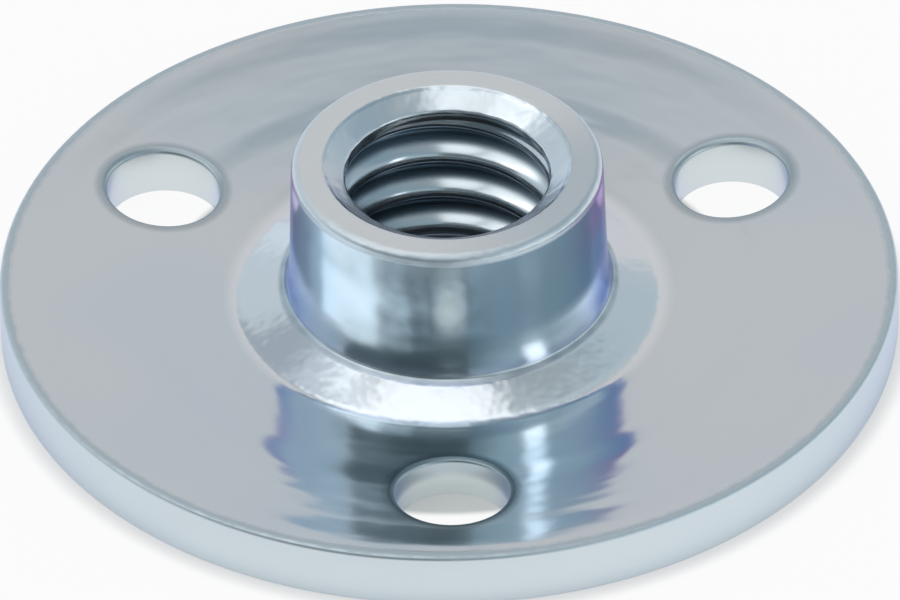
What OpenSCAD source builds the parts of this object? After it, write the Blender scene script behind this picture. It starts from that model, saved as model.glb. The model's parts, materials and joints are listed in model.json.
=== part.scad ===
// Screw-on tee nut with a round base, drawn from one piece of sheet steel.
// The barrel goes into a drilled hole, screws hold the base to the work, and a machine screw runs in
// the barrel's thread.
// Origin: centre of the base's underside. +Z: up the barrel. The first screw hole lies towards -Y.

/* [Base] */
// Diameter of the round base
base_d = 28.6; // [26:0.1:34]
// Thickness of the sheet
sheet_t = 1.9; // [1.4:0.05:2.4]
// Rounding of the base's upper edge
base_top_edge_r = 0.25; // [0.05:0.05:0.6]
// Rounding of the base's lower edge
base_bottom_edge_r = 0.15; // [0.05:0.05:0.6]

/* [Barrel] */
// Height from the base's underside to the barrel's open end
nut_h = 6.5; // [5:0.05:12.7]
// Outer diameter of the barrel at its open end, before the lip is rounded
barrel_d = 9.9; // [9.2:0.1:11.2]
// Draft of the barrel's outside, in degrees
barrel_draft = 2; // [0:0.1:3]
// Rounding of the barrel's outer lip
lip_r = 0.2; // [0.1:0.05:0.6]
// Radius of the hollow corner between the barrel and the apron
foot_r = 0.5; // [0.3:0.05:1.8]

/* [Apron] */
// Diameter of the crease where the raised apron meets the flat of the base
apron_d = 14.4; // [13.8:0.1:16.6]
// Slope of the apron up towards the barrel, in degrees
apron_slope = 8; // [4:1:25]

/* [Bore] */
// Minor diameter of the thread, which the plain bore stands for
bore_d = 6.5; // [5.4:0.05:7.2]
// Mouth diameter of the countersink in the barrel's open end
countersink_d = 7.95; // [7.4:0.05:9]
// Depth of the countersink
countersink_h = 0.5; // [0.2:0.05:1.2]
// Radius that the sheet is drawn over, where the bore opens into the underside
draw_r = 1.4; // [0.4:0.05:2.2]

/* [Screw holes] */
// Number of screw holes
screw_holes = 3; // [2:1:6]
// Diameter of the circle that the screw holes stand on
screw_circle_d = 21; // [19:0.1:23.6]
// Diameter of a screw hole
screw_hole_d = 3.6; // [2.8:0.05:4.2]
// Rounding of a screw hole's upper edge
screw_hole_edge_r = 0.2; // [0.05:0.01:0.4]
// Direction of the first screw hole, in degrees from +X
first_hole_angle = -90; // [-180:5:180]

/* [Hidden] */

$fn = 128;
base_r = base_d / 2;
barrel_r = barrel_d / 2;
apron_r = apron_d / 2;
bore_r = bore_d / 2;
countersink_r = countersink_d / 2;
screw_hole_r = screw_hole_d / 2;
// How far a cutting shape runs past the metal that it cuts
overrun = 1;

// Outward normals, in the section plane, of the barrel's drafted side and of the apron
side_normal = [cos(barrel_draft), sin(barrel_draft)];
apron_normal = [sin(apron_slope), cos(apron_slope)];

// Centre of the circle that rolls into the corner of two lines, each given by a point and its normal
function corner_centre(p, n, q, m, r) =
    let (a = p * n + r, b = q * m + r, det = n.x * m.y - n.y * m.x)
    [(a * m.y - b * n.y) / det, (n.x * b - m.x * a) / det];

barrel_corner = [barrel_r, nut_h];
crease = [apron_r, sheet_t];
foot_centre = corner_centre(barrel_corner, side_normal, crease, apron_normal, foot_r);
lip_centre = corner_centre(barrel_corner, side_normal, barrel_corner, [0, 1], -lip_r);

// What a rounding takes off a square corner, which points along the signs in out
module corner_trim(corner, r, out) {
    centre = corner - r * out;
    difference() {
        translate(centre)
            scale(out)
                square(r + overrun);
        translate(centre)
            circle(r);
    }
}

// What the rounding takes off the barrel's lip, between the end face and the drafted side
module lip_trim() {
    reach = 2 * lip_r;
    difference() {
        polygon([
            lip_centre,
            lip_centre + reach * side_normal,
            lip_centre + reach * [1, 1],
            lip_centre + reach * [0, 1]
        ]);
        translate(lip_centre)
            circle(lip_r);
    }
}

// Half of the collar's outline: the barrel and the apron, with the corner between them filled
module collar_outline() {
    polygon([
        [0, 0],
        [apron_r, 0],
        crease,
        foot_centre - foot_r * apron_normal,
        foot_centre,
        foot_centre - foot_r * side_normal,
        barrel_corner,
        [0, nut_h]
    ]);
}

// What is open inside the collar: bore, countersink and the drawn entry below
module bore_outline() {
    translate([0, -overrun])
        square([bore_r, nut_h + 2 * overrun]);
    polygon([
        [0, nut_h - countersink_h],
        [bore_r, nut_h - countersink_h],
        [countersink_r, nut_h],
        [countersink_r, nut_h + overrun],
        [0, nut_h + overrun]
    ]);
    corner_trim([bore_r, 0], draw_r, [-1, -1]);
}

// Half section of the nut, turned about the barrel's axis
module nut_section() {
    difference() {
        union() {
            square([base_r, sheet_t]);
            collar_outline();
        }
        translate(foot_centre)
            circle(foot_r);
        lip_trim();
        bore_outline();
        corner_trim([base_r, sheet_t], base_top_edge_r, [1, 1]);
        corner_trim([base_r, 0], base_bottom_edge_r, [1, -1]);
    }
}

// One screw hole, with the edge that the punch drew in at the top
module screw_hole() {
    translate([0, 0, -overrun])
        cylinder(r = screw_hole_r, h = sheet_t + 2 * overrun);
    rotate_extrude()
        corner_trim([screw_hole_r, sheet_t], screw_hole_edge_r, [-1, 1]);
}

module tee_nut() {
    color("lightsteelblue")
        difference() {
            rotate_extrude()
                nut_section();
            for (i = [0 : screw_holes - 1])
                rotate(first_hole_angle + i * 360 / screw_holes)
                    translate([screw_circle_d / 2, 0, 0])
                        screw_hole();
        }
}

tee_nut();
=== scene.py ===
import json
import math
from types import SimpleNamespace

import bmesh
import bpy
from mathutils import Euler, Matrix, Vector


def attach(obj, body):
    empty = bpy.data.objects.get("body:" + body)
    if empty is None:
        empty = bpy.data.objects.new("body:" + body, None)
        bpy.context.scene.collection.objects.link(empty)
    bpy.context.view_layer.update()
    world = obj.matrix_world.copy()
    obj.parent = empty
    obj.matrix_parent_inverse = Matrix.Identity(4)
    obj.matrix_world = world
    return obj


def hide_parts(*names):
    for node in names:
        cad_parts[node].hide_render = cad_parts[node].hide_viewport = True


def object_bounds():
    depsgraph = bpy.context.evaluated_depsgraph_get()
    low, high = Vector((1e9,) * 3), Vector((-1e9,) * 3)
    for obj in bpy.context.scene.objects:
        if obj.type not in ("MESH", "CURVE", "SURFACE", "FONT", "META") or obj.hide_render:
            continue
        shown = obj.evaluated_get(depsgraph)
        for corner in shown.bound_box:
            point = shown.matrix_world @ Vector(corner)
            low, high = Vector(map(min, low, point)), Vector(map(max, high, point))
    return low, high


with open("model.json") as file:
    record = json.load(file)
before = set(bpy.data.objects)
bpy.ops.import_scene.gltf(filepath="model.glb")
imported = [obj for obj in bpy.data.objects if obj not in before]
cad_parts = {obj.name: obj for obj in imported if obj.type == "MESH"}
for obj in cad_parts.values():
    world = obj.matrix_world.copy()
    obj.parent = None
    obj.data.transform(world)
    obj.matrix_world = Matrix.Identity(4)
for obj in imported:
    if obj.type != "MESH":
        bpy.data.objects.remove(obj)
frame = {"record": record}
cad_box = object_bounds()

# A screw-on tee nut: one piece of drawn and punched sheet steel with a tapped barrel and bright zinc plate.
# The CAD model has a plain bore and a flat upper side. Here the section is turned again, with the real
# thread cut in it and the upper side dished.

MM = 0.001
FULL_TURN = 2 * math.pi


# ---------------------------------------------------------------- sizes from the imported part

def mount(name):
    """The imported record's mount of that name."""
    return next(m for m in frame["record"]["mounts"] if m["name"] == name)


BASE_R = cad_box[1].x
NUT_H = cad_box[1].z
SHEET_T = mount("seat_face")["pos_m"][2]
MINOR_R = mount("thread")["dims"]["r_mm"] * MM
HOLE_R = mount("screw_holes")["dims"]["hole_r_mm"] * MM
HOLE_COUNT = mount("screw_holes")["dims"]["count"]
HOLE_DISTANCE = mount("screw_holes")["dims"]["pcd_mm"] * MM / 2
FIRST_HOLE = math.radians(-90)

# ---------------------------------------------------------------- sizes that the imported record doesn't state

BASE_TOP_EDGE = 0.16 * MM
BASE_BOTTOM_EDGE = 0.15 * MM
BARREL_R = 4.95 * MM
BARREL_DRAFT = math.radians(2)
LIP_R = 0.30 * MM
# The barrel's side flares out a little above its foot
FLARE_Z = 3.0 * MM
FLARE_SLOPE = math.radians(16)
FLARE_R = 3.0 * MM
FOOT_R = 0.14 * MM
APRON_R = 6.75 * MM
APRON_SLOPE = math.radians(20)
CREASE_R = 1.4 * MM
MOUTH_R = 3.975 * MM
MOUTH_DEPTH = 0.5 * MM
DRAW_R = 1.4 * MM
HOLE_TOP_EDGE = 0.2 * MM
HOLE_BOTTOM_EDGE = 0.05 * MM

# The base's upper side is a shallow cone: it rises from the apron to the edge
DISH_START = 6.9 * MM
DISH_DEPTH = 0.68 * MM
# Faint rings that the press left in the base: radius, width and height of each step, in millimetres
PRESS_RINGS = ((9.8, 1.2, 0.065), (13.1, 1.2, 0.035))

# 5/16-18 UNC, with its ridges and roots rounded by the plating
PITCH = 25.4 / 18 * MM
THREAD_DEPTH = 0.72 * MM
FLANK_SLOPE = math.tan(math.radians(54))
RIDGE_HALF = 0.14 * MM
RIDGE_ROUNDING = 0.34 * MM
ROOT_ROUNDING = 0.10 * MM
# Share of a turn by which the ridges are turned from a start at the +X side of the underside
THREAD_PHASE = 0.366
# Heights between which the thread runs out into the mouth
RUN_OUT_START = 5.4 * MM
RUN_OUT_END = 5.8 * MM

COLUMNS = 240
ROWS_PER_TURN = 32
# The patch of plate round a screw hole: columns across it, half of its depth, and rows
PATCH_COLUMNS = 26
PATCH_HALF = 2.5 * MM
PATCH_ROWS = 14
# Steps in each rounding
LIP_STEPS = 8
FLARE_STEPS = 6
FOOT_STEPS = 12
CREASE_STEPS = 5
TOP_EDGE_STEPS = 6
BOTTOM_EDGE_STEPS = 5
HOLE_BOTTOM_STEPS = 3
# Narrow flat ring that keeps a rounding's shading off the flat beside it
MARGIN = 0.04 * MM
WELD = 0.001 * MM


# ---------------------------------------------------------------- half section of the nut
# Points are (radius, height). The upper side is drawn flat, and the node tree dishes it afterwards.

def arc(centre, r, start, end, steps):
    """Points on a round stretch, from one direction to another, in degrees."""
    turns = (math.radians(start + (end - start) * i / steps) for i in range(steps + 1))
    return [(centre[0] + r * math.cos(a), centre[1] + r * math.sin(a)) for a in turns]


def corner_centre(p, n, q, m, r):
    """Centre of the circle that rolls into the corner of two lines, each given by a point and its normal."""
    a = p[0] * n[0] + p[1] * n[1] + r
    b = q[0] * m[0] + q[1] * m[1] + r
    det = n[0] * m[1] - n[1] * m[0]
    return ((a * m[1] - b * n[1]) / det, (n[0] * b - m[0] * a) / det)


def collar_section():
    """From the mouth's rim over the lip, down the barrel and out over the apron to the plate."""
    side = (math.cos(BARREL_DRAFT), math.sin(BARREL_DRAFT))
    skirt = (math.cos(FLARE_SLOPE), math.sin(FLARE_SLOPE))
    slope = (math.sin(APRON_SLOPE), math.cos(APRON_SLOPE))
    corner = (BARREL_R, NUT_H)
    knee = (BARREL_R + (NUT_H - FLARE_Z) * math.tan(BARREL_DRAFT), FLARE_Z)
    crease = (APRON_R, SHEET_T)
    lip = corner_centre(corner, side, corner, (0, 1), -LIP_R)
    flare = corner_centre(corner, side, knee, skirt, FLARE_R)
    foot = corner_centre(knee, skirt, crease, slope, FOOT_R)
    fold = corner_centre(crease, slope, crease, (0, 1), CREASE_R)
    draft, spread, apron = (math.degrees(a) for a in (BARREL_DRAFT, FLARE_SLOPE, APRON_SLOPE))
    points = [(MOUTH_R, NUT_H), (MOUTH_R + MARGIN, NUT_H), (lip[0] - MARGIN, NUT_H)]
    points += arc(lip, LIP_R, 90, draft, LIP_STEPS)
    points += arc(flare, FLARE_R, 180 + draft, 180 + spread, FLARE_STEPS)
    points += arc(foot, FOOT_R, 180 + spread, 270 - apron, FOOT_STEPS)
    points += arc(fold, CREASE_R, 270 - apron, 270, CREASE_STEPS)
    return points


def rim_section(plate_r):
    """From the plate over its outer edge and round to the underside."""
    top = (BASE_R - BASE_TOP_EDGE, SHEET_T - BASE_TOP_EDGE)
    bottom = (BASE_R - BASE_BOTTOM_EDGE, BASE_BOTTOM_EDGE)
    points = [(plate_r, SHEET_T), (top[0] - MARGIN, SHEET_T)]
    points += arc(top, BASE_TOP_EDGE, 90, 0, TOP_EDGE_STEPS)
    points += arc(bottom, BASE_BOTTOM_EDGE, 0, -90, BOTTOM_EDGE_STEPS)
    points += [(bottom[0] - MARGIN, 0), (plate_r, 0)]
    return points


def hole_section():
    """Wall of a screw hole from the upper side to the underside, as (radius about the hole, height)."""
    top = (HOLE_R + HOLE_TOP_EDGE, SHEET_T - HOLE_TOP_EDGE)
    bottom = (HOLE_R + HOLE_BOTTOM_EDGE, HOLE_BOTTOM_EDGE)
    points = [(top[0] + MARGIN, SHEET_T)]
    points += arc(top, HOLE_TOP_EDGE, 90, 180, TOP_EDGE_STEPS)
    points += arc(bottom, HOLE_BOTTOM_EDGE, 180, 270, HOLE_BOTTOM_STEPS)
    points += [(bottom[0] + MARGIN, 0)]
    return points


# ---------------------------------------------------------------- one sector of the nut, round one screw hole

def around(r, angles, z, centre=(0, 0)):
    """Points at one radius and height, at several angles about a centre."""
    return [(centre[0] + r * math.cos(a), centre[1] + r * math.sin(a), z) for a in angles]


def evenly(start, end, steps):
    return [start + (end - start) * i / steps for i in range(steps + 1)]


def loft(bm, rows, closed=False):
    """Joins rows of points, each as long as the others, with four-sided faces."""
    rows = [[bm.verts.new(point) for point in row] for row in rows]
    for near, far in zip(rows, rows[1:]):
        count = len(near)
        for i in range(count if closed else count - 1):
            j = (i + 1) % count
            bm.faces.new((near[i], far[i], far[j], near[j]))


def sector_mesh():
    """One sector of everything but the bore: collar, both plates, edges and screw hole."""
    bm = bmesh.new()
    half = math.pi / HOLE_COUNT
    columns = COLUMNS // HOLE_COUNT
    angles = evenly(FIRST_HOLE - half, FIRST_HOLE + half, columns)
    left = (columns - PATCH_COLUMNS) // 2
    before, beside, after = angles[:left + 1], angles[left:-left], angles[-left - 1:]
    radii = evenly(HOLE_DISTANCE - PATCH_HALF, HOLE_DISTANCE + PATCH_HALF, PATCH_ROWS)
    centre = (HOLE_DISTANCE * math.cos(FIRST_HOLE), HOLE_DISTANCE * math.sin(FIRST_HOLE))

    def turned(section, span=angles):
        loft(bm, [around(r, span, z) for r, z in section])

    def plate(inner, outer, z):
        """A face of the base, open where the patch round the hole goes."""
        turned([(inner, z), (radii[0], z)])
        turned([(radii[-1], z), (outer, z)])
        for span in (before, after):
            turned([(r, z) for r in radii], span)

    def patch_border(z):
        """The patch's border, counter-clockwise, from the side nearest the axis."""
        border = around(radii[0], beside[::-1], z)
        border += [around(r, beside[:1], z)[0] for r in radii[1:-1]]
        border += around(radii[-1], beside, z)
        border += [around(r, beside[-1:], z)[0] for r in radii[-2:0:-1]]
        return border

    collar = collar_section()
    plate_in = collar[-1][0] + MARGIN
    plate_out = BASE_R - BASE_TOP_EDGE - 2 * MARGIN
    entry = MINOR_R + DRAW_R
    turned(collar + [(plate_in, SHEET_T)])
    turned(rim_section(plate_out))
    turned([(entry + MARGIN, 0), (entry, 0)])
    plate(plate_in, plate_out, SHEET_T)
    plate(entry + MARGIN, plate_out, 0)

    upper, under = patch_border(SHEET_T), patch_border(0)
    count = len(upper)
    first = FIRST_HOLE + math.pi - FULL_TURN * PATCH_COLUMNS / 2 / count
    hole_angles = evenly(first, first + FULL_TURN, count)[:-1]
    wall = [around(r, hole_angles, z, centre) for r, z in hole_section()]
    loft(bm, [upper, *wall, under], closed=True)

    bmesh.ops.remove_doubles(bm, verts=bm.verts, dist=WELD)
    mesh = bpy.data.meshes.new("sector")
    bm.to_mesh(mesh)
    bm.free()
    return mesh


# ---------------------------------------------------------------- node trees written as Python expressions

class Value:
    """One socket's value. Python's operators on it add Math nodes to its tree."""

    def __init__(self, maker, socket):
        self.maker, self.socket = maker, socket

    def math(self, operation, *others):
        """A Math node's result, with this value as its first."""
        inputs = dict(enumerate((self, *others)))
        return self.maker.add("ShaderNodeMath", {"operation": operation}, inputs)

    def ramp(self, start, end, low=0.0, high=1.0):
        """Goes smoothly from low to high while this value goes from start to end."""
        return self.maker.add("ShaderNodeMapRange", {"interpolation_type": "SMOOTHSTEP"}, {
            "Value": self, "From Min": start, "From Max": end, "To Min": low, "To Max": high})

    def least(self, other):
        return self.math("MINIMUM", other)

    def most(self, other):
        return self.math("MAXIMUM", other)

    def root(self):
        return self.math("SQRT")

    def sine(self):
        return self.math("SINE")

    def cosine(self):
        return self.math("COSINE")

    def __add__(self, other):
        return self.math("ADD", other)

    def __sub__(self, other):
        return self.math("SUBTRACT", other)

    def __mul__(self, other):
        return self.math("MULTIPLY", other)

    def __truediv__(self, other):
        return self.math("DIVIDE", other)

    def __neg__(self):
        return self.math("MULTIPLY", -1)

    def __rsub__(self, other):
        return self.maker.number(other).math("SUBTRACT", self)

    def __rtruediv__(self, other):
        return self.maker.number(other).math("DIVIDE", self)

    __radd__ = __add__
    __rmul__ = __mul__


class Maker:
    """Adds nodes to one node tree."""

    def __init__(self, tree):
        self.tree = tree

    def node(self, kind, settings=None, inputs=None):
        """A node of that kind, with its settings and then the values or links of its sockets."""
        made = self.tree.nodes.new(kind)
        for name, value in (settings or {}).items():
            setattr(made, name, value)
        for name, value in (inputs or {}).items():
            if isinstance(value, Value):
                self.tree.links.new(value.socket, made.inputs[name])
            else:
                made.inputs[name].default_value = value
        return made

    def add(self, kind, settings=None, inputs=None, output=0):
        """The value of one output of a new node."""
        return Value(self, self.node(kind, settings, inputs).outputs[output])

    def number(self, value):
        """A plain number as a value."""
        return self.add("ShaderNodeMath", {"operation": "ADD"}, {0: value, 1: 0.0})

    def split(self, vector):
        """The three numbers of a vector."""
        parts = self.node("ShaderNodeSeparateXYZ", inputs={0: vector}).outputs
        return [Value(self, part) for part in parts]

    def blend(self, factor, a, b):
        """One colour or the other, by a factor of 0 to 1."""
        a, b = (c if isinstance(c, Value) else (*c, 1) for c in (a, b))
        # The Mix node's colours are its sockets 6 and 7, and their blend is its output 2
        return self.add("ShaderNodeMix", {"data_type": "RGBA"}, {0: factor, 6: a, 7: b}, output=2)

    def noise(self, vector, size, detail=0.0):
        """Noise of 0 to 1 whose lumps are about as wide as size, in the vector's unit."""
        return self.add("ShaderNodeTexNoise", inputs={"Vector": vector, "Scale": 1 / size, "Detail": detail})


# ---------------------------------------------------------------- the nut's form

# The node tree's named inputs
FORM_SIZES = {
    "Height": NUT_H, "Sheet": SHEET_T,
    "Dish Start": DISH_START, "Dish End": BASE_R - BASE_TOP_EDGE, "Dish Depth": DISH_DEPTH,
    "Minor Radius": MINOR_R, "Thread Depth": THREAD_DEPTH, "Pitch": PITCH, "Phase": THREAD_PHASE,
    "Flank Slope": FLANK_SLOPE, "Ridge Half": RIDGE_HALF, "Ridge Rounding": RIDGE_ROUNDING,
    "Root Rounding": ROOT_ROUNDING, "Run-out Start": RUN_OUT_START, "Run-out End": RUN_OUT_END,
    "Mouth Slope": (MOUTH_R - MINOR_R) / MOUTH_DEPTH,
    "Mouth Depth": MOUTH_DEPTH, "Draw Radius": DRAW_R,
}


def ring_of_sectors(maker, given):
    """The sector, set round the axis once for each screw hole."""
    points = maker.add("GeometryNodePoints", inputs={"Count": given["Screw Holes"]})
    index = maker.add("GeometryNodeInputIndex")
    turn = maker.add("ShaderNodeCombineXYZ", inputs={"Z": index * FULL_TURN / given["Screw Holes"]})
    ring = maker.add("GeometryNodeInstanceOnPoints",
                     inputs={"Points": points, "Instance": given["Sector"], "Rotation": turn})
    return maker.add("GeometryNodeRealizeInstances", inputs={"Geometry": ring})


def dished(maker, given, ring):
    """The ring with its upper side brought down inside the edge, and the collar's foot with it."""
    x, y, z = maker.split(maker.add("GeometryNodeInputPosition"))
    rise = ((x * x + y * y).root() - given["Dish Start"]) / (given["Dish End"] - given["Dish Start"])
    rise = rise.most(0.0).least(1.0)
    from_under = (z / given["Sheet"]).least(1.0)
    from_rim = ((given["Height"] - z) / (given["Height"] - given["Sheet"])).least(1.0)
    sink = given["Dish Depth"] * (1 - rise) * from_under * from_rim
    down = maker.add("ShaderNodeCombineXYZ", inputs={"Z": -sink})
    return maker.add("GeometryNodeSetPosition", inputs={"Geometry": ring, "Offset": down})


def threaded_bore(maker, given):
    """A sheet of rows that climb with the thread, held between the underside and the rim."""
    height, minor, pitch, draw = (given[name] for name in ("Height", "Minor Radius", "Pitch", "Draw Radius"))
    # Two turns to spare, since each column of the sheet starts and ends at its own height
    turns = math.ceil((NUT_H + DRAW_R) / PITCH) + 2
    grid = maker.add("GeometryNodeMeshGrid", inputs={
        "Size X": 1.0, "Size Y": 1.0, "Vertices X": COLUMNS + 1, "Vertices Y": turns * ROWS_PER_TURN + 1})
    across, along, _ = maker.split(maker.add("GeometryNodeInputPosition"))
    round_share, climb = across + 0.5, along + 0.5

    # Height and radius of the plain bore, with the drawn radius below and the mouth above
    lowest = draw * (1 - math.pi / 2)
    free = lowest + (climb * turns + round_share - 1) * pitch
    run = free.most(lowest).least(height)
    bend = ((draw - run) / draw).most(0.0)
    z = run.most(draw) - draw * bend.sine()
    mouth = (run - height + given["Mouth Depth"]).most(0.0) * given["Mouth Slope"]
    smooth_bore = minor + draw * (1 - bend.cosine()) + mouth

    # Depth of the thread's groove
    phase = (z / pitch - round_share + given["Phase"]).math("FRACT")
    from_ridge = (0.5 - (phase - 0.5).math("ABSOLUTE")) * pitch
    flank = (from_ridge - given["Ridge Half"]) * given["Flank Slope"]
    groove = flank.math("SMOOTH_MAX", 0.0, given["Ridge Rounding"])
    groove = groove.math("SMOOTH_MIN", given["Thread Depth"], given["Root Rounding"])
    groove = groove * z.ramp(given["Run-out End"], given["Run-out Start"])

    r = smooth_bore.most(minor + groove)
    angle = round_share * FULL_TURN
    spot = maker.add("ShaderNodeCombineXYZ", inputs={"X": r * angle.cosine(), "Y": r * angle.sine(), "Z": z})
    return maker.add("GeometryNodeSetPosition", inputs={"Geometry": grid, "Position": spot})


def nut_tree():
    """Geometry nodes that set the sectors round the axis and close them with the threaded bore."""
    tree = bpy.data.node_groups.new("tee_nut_form", "GeometryNodeTree")
    sockets = tree.interface
    sockets.new_socket("Geometry", in_out="OUTPUT", socket_type="NodeSocketGeometry")
    sockets.new_socket("Sector", in_out="INPUT", socket_type="NodeSocketGeometry")
    sockets.new_socket("Screw Holes", in_out="INPUT", socket_type="NodeSocketInt")
    for name in FORM_SIZES:
        sockets.new_socket(name, in_out="INPUT", socket_type="NodeSocketFloat")
    sockets.new_socket("Finish", in_out="INPUT", socket_type="NodeSocketMaterial")

    maker = Maker(tree)
    group = tree.nodes.new("NodeGroupInput")
    given = {s.name: Value(maker, s) for s in group.outputs if s.name}
    ring = dished(maker, given, ring_of_sectors(maker, given))
    bore = threaded_bore(maker, given)
    join = maker.node("GeometryNodeJoinGeometry")
    for part in (ring, bore):
        tree.links.new(part.socket, join.inputs["Geometry"])
    joined = Value(maker, join.outputs[0])
    whole = maker.add("GeometryNodeMergeByDistance", inputs={"Geometry": joined, "Distance": WELD})
    whole = maker.add("GeometryNodeRealizeInstances", inputs={"Geometry": whole})
    whole = maker.add("GeometryNodeSetMaterial", inputs={"Geometry": whole, "Material": given["Finish"]})
    maker.node("NodeGroupOutput", inputs={"Geometry": whole})
    return tree


def build_nut(finish):
    """The nut as one closed plain mesh."""
    former = bpy.data.objects.new("former", sector_mesh())
    bpy.context.collection.objects.link(former)
    tree = nut_tree()
    modifier = former.modifiers.new("form", "NODES")
    modifier.node_group = tree
    values = {**FORM_SIZES, "Screw Holes": HOLE_COUNT, "Finish": finish}
    for socket in tree.interface.items_tree:
        if socket.name in values:
            modifier[socket.identifier] = values[socket.name]
    formed = former.evaluated_get(bpy.context.evaluated_depsgraph_get())
    mesh = bpy.data.meshes.new_from_object(formed)
    former.modifiers.remove(modifier)
    bpy.data.objects.remove(former)
    bm = bmesh.new()
    bm.from_mesh(mesh)
    bmesh.ops.dissolve_degenerate(bm, edges=bm.edges, dist=WELD)
    bmesh.ops.recalc_face_normals(bm, faces=bm.faces)
    for face in bm.faces:
        face.smooth = True
    bm.to_mesh(mesh)
    bm.free()
    nut = bpy.data.objects.new("plated_nut", mesh)
    bpy.context.collection.objects.link(nut)
    return nut


# ---------------------------------------------------------------- the nut's finish
# Lengths and heights in this section are in millimetres, and angles in radians.

COOL_ZINC = (0.71, 0.79, 0.845)
WARM_ZINC = (0.755, 0.80, 0.83)
BARREL_ZINC = (0.66, 0.76, 0.82)
# Painted sheen: the passivation's colours where the barrel's flanks are seen at a grazing angle
FLANK_SHEEN_BLUE = (0.23, 0.34, 0.62)
FLANK_SHEEN_VIOLET = (0.44, 0.20, 0.50)
# Painted dark reflection on the barrel's front
PAINTED_DARK_REFLECTION = (0.30, 0.37, 0.39)
# Painted highlight low on the barrel's right
PAINTED_HIGHLIGHT = (0.90, 0.96, 0.98)
BORE_ZINC = (0.74, 0.80, 0.83)
# Lighter, so that the mouth's reflections come out brighter: painted highlight
MOUTH_HIGHLIGHT_TINT = (0.83, 0.88, 0.91)
# Painted shade in the crease between the barrel and the apron
CREASE_PAINTED_SHADE = (0.42, 0.49, 0.53)
# Lighter, so that the apron's reflection of the lamps comes out white: painted highlight
APRON_HIGHLIGHT_TINT = (0.92, 0.95, 0.97)
RIM_LIGHT = (0.82, 0.85, 0.86)
RIM_SHADE = (0.62, 0.69, 0.73)
HOLE_WALL = (0.68, 0.74, 0.76)
# Painted light and shade on the front screw hole's wall: lighter low down, darker at the top
FRONT_WALL_PAINTED_LIGHT = (0.94, 1.0, 1.0)
FRONT_WALL_PAINTED_SHADE = (0.48, 0.56, 0.60)
# Painted shade round the screw holes' upper edges
HOLE_RING_PAINTED_SHADE = (0.22, 0.29, 0.32)
SIDE_ZINC = (0.66, 0.74, 0.78)
WORN_EDGE = (0.56, 0.56, 0.55)
# Painted shade deep in the thread's roots
THREAD_ROOT_PAINTED_SHADE = (0.08, 0.13, 0.17)
GRAZING_TINT = (0.78, 0.80, 0.97)


def new_material(name):
    """An empty material and the maker of its nodes."""
    material = bpy.data.materials.new(name)
    material.use_nodes = True
    material.node_tree.nodes.clear()
    maker = Maker(material.node_tree)
    return material, maker


def nut_surface(maker):
    """Where a point is about the nut's own axis, and a mask of 0 to 1 for each kind of surface."""
    top, sheet, base_r, barrel_r, apron_r = (a / MM for a in (NUT_H, SHEET_T, BASE_R, BARREL_R, APRON_R))
    mouth_r, minor_r, draw_r, hole_r = (a / MM for a in (MOUTH_R, MINOR_R, DRAW_R, HOLE_R))
    own = maker.add("ShaderNodeTexCoord", output="Object")
    place = maker.add("ShaderNodeVectorMath", {"operation": "SCALE"}, {0: own, "Scale": 1 / MM})
    x, y, z = maker.split(place)
    r = (x * x + y * y).root()
    # The azimuth is 0 in front and positive to the right
    azimuth = x.math("ARCTAN2", -y)
    to_hole = azimuth.math("WRAP", math.pi / HOLE_COUNT, -math.pi / HOLE_COUNT)
    hole_x = r * to_hole.cosine() - HOLE_DISTANCE / MM
    hole_y = r * to_hole.sine()
    from_hole = (hole_x * hole_x + hole_y * hole_y).root()
    ragged_r = r + 0.16 * (maker.noise(place, 0.4, 1.0) - 0.5)

    barrel = r.ramp(mouth_r + 0.075, mouth_r + 0.225)
    barrel = barrel * z.ramp(sheet + 0.05, sheet + 0.4) * z.ramp(top - 0.15, top - 0.25)
    root = r.ramp(minor_r + 0.25, minor_r + 0.5) * r.ramp(mouth_r + 0.025, mouth_r - 0.005)
    root = root * z.ramp(top - 0.5, top - 0.6) * z.ramp(draw_r - 0.3, draw_r + 0.1)
    corner = r.ramp(barrel_r + 0.2, barrel_r + 0.3) * r.ramp(barrel_r + 0.55, barrel_r + 0.4)
    apron = r.ramp(barrel_r + 0.4, barrel_r + 0.55) * r.ramp(apron_r + 0.55, apron_r - 0.15)
    hole_ring = from_hole.ramp(hole_r + 0.02, hole_r + 0.08) * from_hole.ramp(hole_r + 0.5, hole_r + 0.2)
    side_edge = ragged_r.ramp(base_r - 0.42, base_r - 0.32) * ragged_r.ramp(base_r - 0.02, base_r - 0.14)
    return SimpleNamespace(
        place=place, x=x, y=y, z=z, r=r, azimuth=azimuth,
        # The place, squeezed along the axis: a pattern on it comes out drawn along the barrel
        drawn=maker.add("ShaderNodeCombineXYZ", inputs={0: x, 1: y, 2: z * 0.15}),
        barrel=barrel,
        front_of_barrel=azimuth.ramp(-0.55, -0.3) * azimuth.ramp(0.35, 0.1),
        bore=r.ramp(mouth_r + 0.025, mouth_r - 0.025) * z.ramp(top - 0.05, top - 0.1),
        root=root,
        around_mouth=z.ramp(top - 0.6, top - 0.4) * (1 - barrel),
        rim_face=z.ramp(top - 0.08, top - 0.02) * r.ramp(mouth_r - 0.075, mouth_r + 0.005),
        lip=z.ramp(top - 0.4, top - 0.3) * r.ramp(barrel_r - 0.3, barrel_r - 0.2),
        corner=corner * z.ramp(sheet + 0.3, sheet),
        apron=apron * z.ramp(sheet + 0.3, sheet + 0.1),
        plate=r.ramp(apron_r + 0.25, apron_r + 0.85),
        hole_wall=from_hole.ramp(hole_r + 0.22, hole_r + 0.1),
        hole_ring=hole_ring * z.ramp(sheet - 0.9, sheet - 0.7),
        side_wall=ragged_r.ramp(base_r - 0.34, base_r - 0.24),
        side_edge=side_edge * z.ramp(sheet - 0.4, sheet - 0.2))


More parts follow.
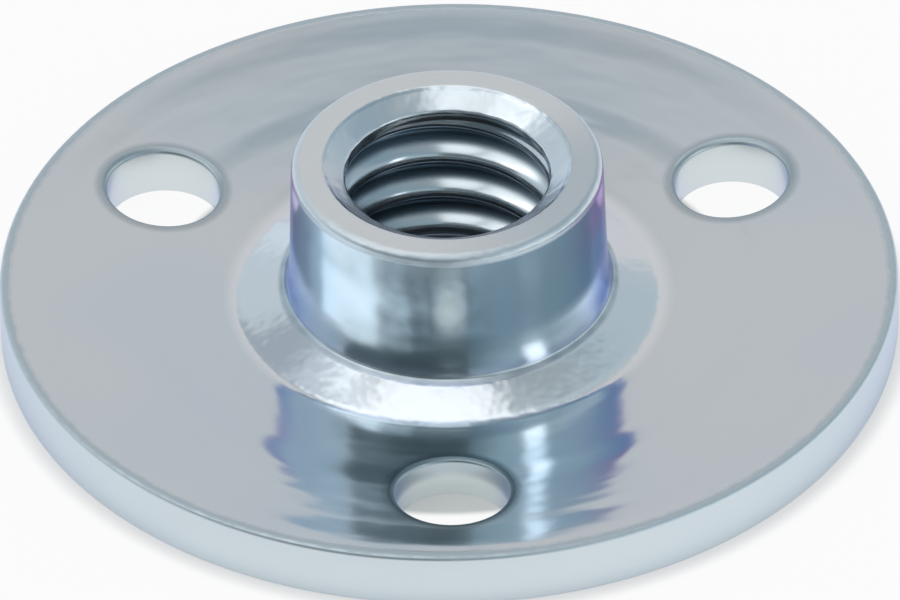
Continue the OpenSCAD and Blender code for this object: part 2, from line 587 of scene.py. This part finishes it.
def barrel_colour(maker, on):
    """Blue and violet painted sheen on the barrel's flanks, a painted dark reflection in front, and a painted
    highlight low on the right.
    """
    azimuth, z = on.azimuth, on.z
    right_flank = azimuth.ramp(0.7, 1.45) * azimuth.ramp(2.1, 1.6)
    left_flank = azimuth.ramp(-1.12, -1.5) * azimuth.ramp(-2.1, -1.6)
    # The passivation's blue and violet, painted where the flanks are seen at a grazing angle: painted sheen,
    # bluer low down and more violet higher up
    sheen_shift = z + 1.5 * maker.noise(on.place, 1.6)
    flanks = maker.blend(sheen_shift.ramp(4.9, 6.5), FLANK_SHEEN_BLUE, FLANK_SHEEN_VIOLET)
    colour = maker.blend(0.9 * right_flank + 0.8 * left_flank, BARREL_ZINC, flanks)

    # Painted dark reflection on the barrel's front, mottled, and lower down also left of the front
    blotches = 0.6 * maker.noise(on.place, 0.8, 1.0) + 0.4 * maker.noise(on.drawn, 0.5)
    dark_reflection = on.front_of_barrel * blotches.ramp(0.35, 0.6) * z.ramp(5.5, 4.5, 0.3, 0.5)
    dark_reflection = dark_reflection.most(on.front_of_barrel * z.ramp(3.7, 3.1))
    left_of_front = azimuth.ramp(-0.9, -0.6) * azimuth.ramp(0.0, -0.3)
    dark_reflection = dark_reflection.most(0.45 * left_of_front * z.ramp(3.9, 3.1))
    colour = maker.blend(0.8 * dark_reflection, colour, PAINTED_DARK_REFLECTION)

    # Painted highlight low on the barrel's right
    highlight_low_right = azimuth.ramp(0.3, 0.5) * azimuth.ramp(1.3, 1.0) * z.ramp(3.5, 2.8)
    return maker.blend(highlight_low_right, colour, PAINTED_HIGHLIGHT)


def plate_colour(maker, on):
    """The plate's colour, laid on from the whole nut down to its smallest surfaces."""
    colour = maker.blend(maker.noise(on.place, 6.0).ramp(0.3, 0.7), COOL_ZINC, WARM_ZINC)
    rim_shaded = on.azimuth.ramp(-0.4, 1.0) * on.azimuth.ramp(2.4, 1.5)
    front_hole = on.azimuth.ramp(-0.5, -0.3) * on.azimuth.ramp(0.5, 0.3)
    front_wall = on.hole_wall * front_hole
    layers = (
        (on.barrel, barrel_colour(maker, on)),
        (on.bore, BORE_ZINC),
        # Painted highlight: the mouth made lighter so that it mirrors the lamps brighter
        (on.bore * on.around_mouth, MOUTH_HIGHLIGHT_TINT),
        # Painted shade in the crease at the barrel's foot, mottled
        (on.corner * maker.noise(on.place, 0.6), CREASE_PAINTED_SHADE),
        # Painted highlight: the apron made lighter so that it mirrors the lamps white
        (on.apron, APRON_HIGHLIGHT_TINT),
        (on.rim_face, maker.blend(rim_shaded, RIM_LIGHT, RIM_SHADE)),
        (on.hole_wall, HOLE_WALL),
        # Painted light low on the front hole's wall and painted shade at its top
        (front_wall * on.z.ramp(1.05, 0.6), FRONT_WALL_PAINTED_LIGHT),
        (front_wall * on.z.ramp(0.6, 1.05), FRONT_WALL_PAINTED_SHADE),
        # Painted shade round the holes' edges, darkest at the front hole, where the dark barrel is mirrored
        (on.hole_ring * (0.45 + 0.5 * front_hole), HOLE_RING_PAINTED_SHADE),
        (on.side_wall, SIDE_ZINC),
        (0.3 * on.side_edge, WORN_EDGE),
        # Painted shade in the thread's roots
        (0.9 * on.root, THREAD_ROOT_PAINTED_SHADE),
    )
    for mask, tint in layers:
        colour = maker.blend(mask, colour, tint)
    return colour


def plate_roughness(maker, on):
    """Smooth all over, and duller where the sheet was drawn, cut or tapped."""
    roughness = 0.09 + 0.05 * maker.noise(on.place, 1.5, 2.0)
    duller = (
        (on.barrel, 0.07 + 0.03 * on.front_of_barrel), (on.apron, 0.07), (on.corner, 0.2),
        (on.rim_face, 0.1), (on.around_mouth, 0.1), (on.lip, 0.2), (on.bore, 0.08), (on.root, 0.12),
        (on.hole_wall, 0.2), (on.hole_ring, 0.15), (on.side_wall, 0.3), (on.side_edge, 0.25),
    )
    for mask, amount in duller:
        roughness = roughness + mask * amount
    return roughness


def plate_height(maker, on):
    """The sheet's unevenness, as a height."""
    waves = maker.noise(on.place, 1.8) * 0.010 * (1 - on.bore) * (1 - 0.8 * on.barrel)
    # A place that changes slowly round the axis and faster outwards, so that the ripples run round it
    turned_x, turned_y = on.x / on.r * 4.0, on.y / on.r * 4.0
    swirl = maker.add("ShaderNodeCombineXYZ", inputs={0: turned_x, 1: turned_y, 2: on.r})
    ripples = maker.noise(swirl, 0.8, 1.0) * 0.015 * on.plate
    dents = maker.noise(on.place, 0.6, 1.0) * (0.001 + 0.006 * on.front_of_barrel) * on.barrel
    streaks = maker.noise(on.drawn, 0.5) * (0.003 + 0.010 * on.front_of_barrel) * on.barrel
    crumpled = 0.016 * on.apron + 0.035 * on.around_mouth + 0.006 * on.rim_face
    height = waves + ripples + dents + streaks + maker.noise(on.place, 0.5, 1.0) * crumpled
    for ring_r, width, step in PRESS_RINGS:
        height = height + on.r.ramp(ring_r - width / 2, ring_r + width / 2) * step
    return height


def zinc_plate():
    """Bright zinc plate with a thin blue passivation, with painted sheen, highlights, reflections and shade in
    its colour.
    """
    material, maker = new_material("zinc_plate")
    on = nut_surface(maker)
    height = plate_height(maker, on)
    bump = maker.add("ShaderNodeBump", inputs={"Strength": 1.0, "Distance": MM, "Height": height})
    shader = maker.add("ShaderNodeBsdfPrincipled", inputs={
        "Base Color": plate_colour(maker, on), "Metallic": 1.0, "Roughness": plate_roughness(maker, on),
        "Normal": bump, "Specular Tint": (*GRAZING_TINT, 1)})
    maker.node("ShaderNodeOutputMaterial", inputs={"Surface": shader})
    return material


# ---------------------------------------------------------------- the paper under the nut

FLOOR_HALF = 1.5
WHITE_PAPER = (0.85, 0.85, 0.85)
SHADED_PAPER = (0.60, 0.63, 0.62)
# Painted shadow on the paper under the bore
PAPER_PAINTED_SHADOW = (0.08, 0.09, 0.10)


def pale_floor():
    """White paper. Part of it shines by itself, so that it stays white around the nut's soft shadow. Under the
    bore, under the screw holes and along the nut's edge its shadow is painted.
    """
    material, maker = new_material("pale_floor")
    rays = maker.node("ShaderNodeLightPath").outputs
    names = ("Is Camera Ray", "Is Glossy Ray", "Is Transmission Ray")
    camera, glossy, clear = (Value(maker, rays[name]) for name in names)
    x, y, _ = maker.split(maker.add("ShaderNodeTexCoord", output="Object"))
    r = (x * x + y * y).root()
    entry = MINOR_R + DRAW_R
    # Painted shadow under the bore, painted shade under the screw holes, and a painted contact shadow along
    # the nut's edge
    painted_shadow_under_bore = r.ramp(entry + 1.85 * MM, entry - 0.15 * MM)
    painted_shade_under_holes = r.ramp(HOLE_DISTANCE - 0.6 * MM, HOLE_DISTANCE - 0.95 * MM)
    painted_contact_shadow = r.ramp(BASE_R - 0.7 * MM, BASE_R - 0.3 * MM) * r.ramp(BASE_R + 0.7 * MM, BASE_R)
    tone = maker.blend(painted_shade_under_holes, WHITE_PAPER, SHADED_PAPER)
    tone = maker.blend(painted_shadow_under_bore, tone, PAPER_PAINTED_SHADOW)
    paper = maker.add("ShaderNodeBsdfDiffuse", inputs={"Color": tone})
    white = maker.add("ShaderNodeEmission", inputs={"Color": (1, 1, 1, 1), "Strength": 1.0})
    seen = camera.most(glossy).most(clear)
    glow = seen * (0.92 - 0.66 * painted_shade_under_holes) * (1 - painted_shadow_under_bore) * (1 - 0.5 * painted_contact_shadow)
    shader = maker.add("ShaderNodeMixShader", inputs={0: glow, 1: paper, 2: white})
    maker.node("ShaderNodeOutputMaterial", inputs={"Surface": shader})
    return material


def add_floor():
    """A large sheet of paper under the nut."""
    corners = [(x * FLOOR_HALF, y * FLOOR_HALF, 0) for x, y in ((-1, -1), (1, -1), (1, 1), (-1, 1))]
    mesh = bpy.data.meshes.new("floor")
    mesh.from_pydata(corners, [], [(0, 1, 2, 3)])
    mesh.materials.append(pale_floor())
    floor = bpy.data.objects.new("floor", mesh)
    bpy.context.collection.objects.link(floor)


# ---------------------------------------------------------------- camera

VIEW_ELEVATION = math.radians(38.3)
VIEW_ROLL = math.radians(-0.9)
VIEW_DISTANCE = 0.75
VIEW_WIDTH = 28.64 * MM
IMAGE_WIDTH, IMAGE_HEIGHT = 900, 600
# Where the middle of the base's upper side, taken as flat, comes in the picture, in pixels
BASE_CENTRE_X, BASE_CENTRE_Y = 448.8, 276


def add_camera():
    data = bpy.data.cameras.new("camera")
    data.lens = data.sensor_width * VIEW_DISTANCE / VIEW_WIDTH
    data.clip_start, data.clip_end = 0.01, 10
    camera = bpy.data.objects.new("camera", data)
    turn = Euler((math.pi / 2 - VIEW_ELEVATION, 0, 0)).to_matrix() @ Matrix.Rotation(VIEW_ROLL, 3, "Z")
    pixel = VIEW_WIDTH / IMAGE_WIDTH
    aside = (IMAGE_WIDTH / 2 - BASE_CENTRE_X) * pixel
    above = (BASE_CENTRE_Y - IMAGE_HEIGHT / 2) * pixel
    target = Vector((0, 0, SHEET_T)) + turn @ Vector((aside, above, 0))
    place = target + turn @ Vector((0, 0, VIEW_DISTANCE))
    camera.matrix_world = Matrix.Translation(place) @ turn.to_4x4()
    bpy.context.collection.objects.link(camera)
    bpy.context.scene.camera = camera


# ---------------------------------------------------------------- studio light, and what the metal mirrors

OVERHEAD_HEIGHT = 0.6
OVERHEAD_BRIGHTNESS = 0.75
SIDE_BRIGHTNESS = 1.02
STRIP_BRIGHTNESS = 1.3
LAMP_DISTANCE = 0.7
WORLD_LOW = (0.63, 0.63, 0.635)
WORLD_HIGH = (0.31, 0.355, 0.385)
BLACK_CARD = (0.12, 0.15, 0.16)
CARD_STEPS = 8
# Elevation of a card's lower edge where it comes down to the floor, in degrees
CARD_FOOT = 0.3


def towards(azimuth, elevation, distance):
    """A place in the studio. Azimuth 0 is in front of the nut and 90 to its right."""
    a, e = math.radians(azimuth), math.radians(elevation)
    return distance * Vector((math.sin(a) * math.cos(e), -math.cos(a) * math.cos(e), math.sin(e)))


def add_lamp(name, place, turn, width, height, brightness):
    """A soft rectangular lamp. Mirrored in the metal, its brightness adds to that of what is behind it."""
    data = bpy.data.lights.new(name, "AREA")
    data.shape = "RECTANGLE"
    data.size, data.size_y = width, height
    data.energy = brightness * math.pi * width * height
    lamp = bpy.data.objects.new(name, data)
    lamp.location, lamp.rotation_euler = place, turn
    bpy.context.collection.objects.link(lamp)


def add_overhead_lamp(name, x, y, width, depth):
    """A lamp over the nut that points straight down."""
    add_lamp(name, (x, y, OVERHEAD_HEIGHT), (0, 0, 0), width, depth, OVERHEAD_BRIGHTNESS)


def add_side_lamp(name, azimuth, elevation, width, height, brightness):
    """A lamp that points at the nut from a direction given in degrees."""
    place = towards(azimuth, elevation, LAMP_DISTANCE)
    turn = (-place).to_track_quat("-Z", "Y").to_euler()
    add_lamp(name, place, turn, width, height, brightness)


def add_card(name, corners, faces, colour):
    """A matt card that only the metal sees."""
    material, maker = new_material(name)
    shade = maker.add("ShaderNodeEmission", inputs={"Color": (*colour, 1), "Strength": 1.0})
    maker.node("ShaderNodeOutputMaterial", inputs={"Surface": shade})
    mesh = bpy.data.meshes.new(name)
    mesh.from_pydata(corners, [], faces)
    mesh.materials.append(material)
    card = bpy.data.objects.new(name, mesh)
    card.visible_camera = card.visible_shadow = card.visible_diffuse = False
    bpy.context.collection.objects.link(card)


def add_wall_card(name, azimuths, elevations, colour, distance=1.0):
    """A bent matt card that covers a span of azimuths and of elevations, in degrees."""
    corners = [towards(a, e, distance) for a in evenly(*azimuths, CARD_STEPS) for e in elevations]
    faces = [(2 * i, 2 * i + 1, 2 * i + 3, 2 * i + 2) for i in range(CARD_STEPS)]
    add_card(name, corners, faces, colour)


def add_floor_card():
    """A matt card in front of the nut that lies just over the floor."""
    azimuths, elevation, distances = (-50, -30, -8, 14), 0.2, (0.03, 0.99)
    corners = [towards(a, elevation, distance) for a in azimuths for distance in distances]
    add_card("floor_card", corners, [(0, 1, 3, 2), (2, 3, 5, 4), (4, 5, 7, 6)], (0.2, 0.235, 0.25))


def add_world():
    """Pale at the horizon and darker above."""
    world = bpy.data.worlds.new("studio")
    world.use_nodes = True
    world.node_tree.nodes.clear()
    maker = Maker(world.node_tree)
    _, _, up = maker.split(maker.add("ShaderNodeTexCoord", output="Generated"))
    elevation = up.math("ARCSINE") * (180 / math.pi)
    colour = maker.blend(elevation.ramp(42, 60), WORLD_LOW, WORLD_HIGH)
    sky = maker.add("ShaderNodeBackground", inputs={"Color": colour, "Strength": 1.0})
    maker.node("ShaderNodeOutputWorld", inputs={"Surface": sky})
    bpy.context.scene.world = world


def add_studio():
    """Lamps and cards, each placed for the part of the nut that mirrors it."""
    add_world()
    add_overhead_lamp("overhead_lamp_right", -0.035, -0.05, 0.29, 0.90)
    add_overhead_lamp("overhead_lamp_left", -0.334, -0.155, 0.212, 0.69)
    add_side_lamp("side_lamp", -81, 46.5, 0.44, 0.147, SIDE_BRIGHTNESS)
    add_side_lamp("strip_lamp", 59, 27, 0.15, 0.247, STRIP_BRIGHTNESS)
    add_wall_card("low_front_card", (-30, 12), (CARD_FOOT, 38), BLACK_CARD)
    add_wall_card("front_card", (-30, 12), (38, 59), (0.19, 0.23, 0.25))
    add_wall_card("front_left_card", (-50, -30), (38, 59), (0.27, 0.32, 0.35))
    add_wall_card("low_left_card", (-74, -30), (18, 38), BLACK_CARD)
    add_wall_card("lowest_left_card", (-80, -45), (CARD_FOOT, 18), (0.35, 0.42, 0.46))
    add_wall_card("lowest_front_left_card", (-45, -30), (CARD_FOOT, 18), BLACK_CARD)
    add_wall_card("right_card", (12, 75), (38, 57), (0.27, 0.36, 0.42))
    add_wall_card("near_right_band_card", (12, 45), (14, 38), (0.40, 0.50, 0.53))
    add_wall_card("middle_right_band_card", (45, 75), (14, 38), (0.31, 0.40, 0.46))
    add_wall_card("low_right_card", (30, 130), (CARD_FOOT, 16), (0.9, 1.0, 1.0))
    add_wall_card("far_right_card", (75, 130), (37, 55), (0.25, 0.345, 0.405))
    add_wall_card("right_band_card", (75, 150), (14, 37), (0.40, 0.48, 0.54))
    add_wall_card("back_right_card", (130, 155), (20, 72), (0.42, 0.50, 0.55))
    add_wall_card("far_left_card", (-162, -98), (38, 52), (0.31, 0.36, 0.41))
    add_wall_card("left_fade_card", (-124, -100), (38, 52), (0.52, 0.60, 0.66), distance=0.9)
    add_wall_card("left_band_card", (-162, -80), (14, 38), (0.52, 0.59, 0.64))
    add_wall_card("low_back_left_card", (-165, -105), (CARD_FOOT, 14), (0.68, 0.78, 0.81))
    add_wall_card("back_left_card", (-155, -115), (52, 68), (0.48, 0.55, 0.62))
    add_floor_card()


# ---------------------------------------------------------------- the whole scene

bpy.context.scene.view_settings.view_transform = "Standard"
add_camera()
add_floor()
add_studio()
nut = build_nut(zinc_plate())
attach(nut, "root")
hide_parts("tee_nut")
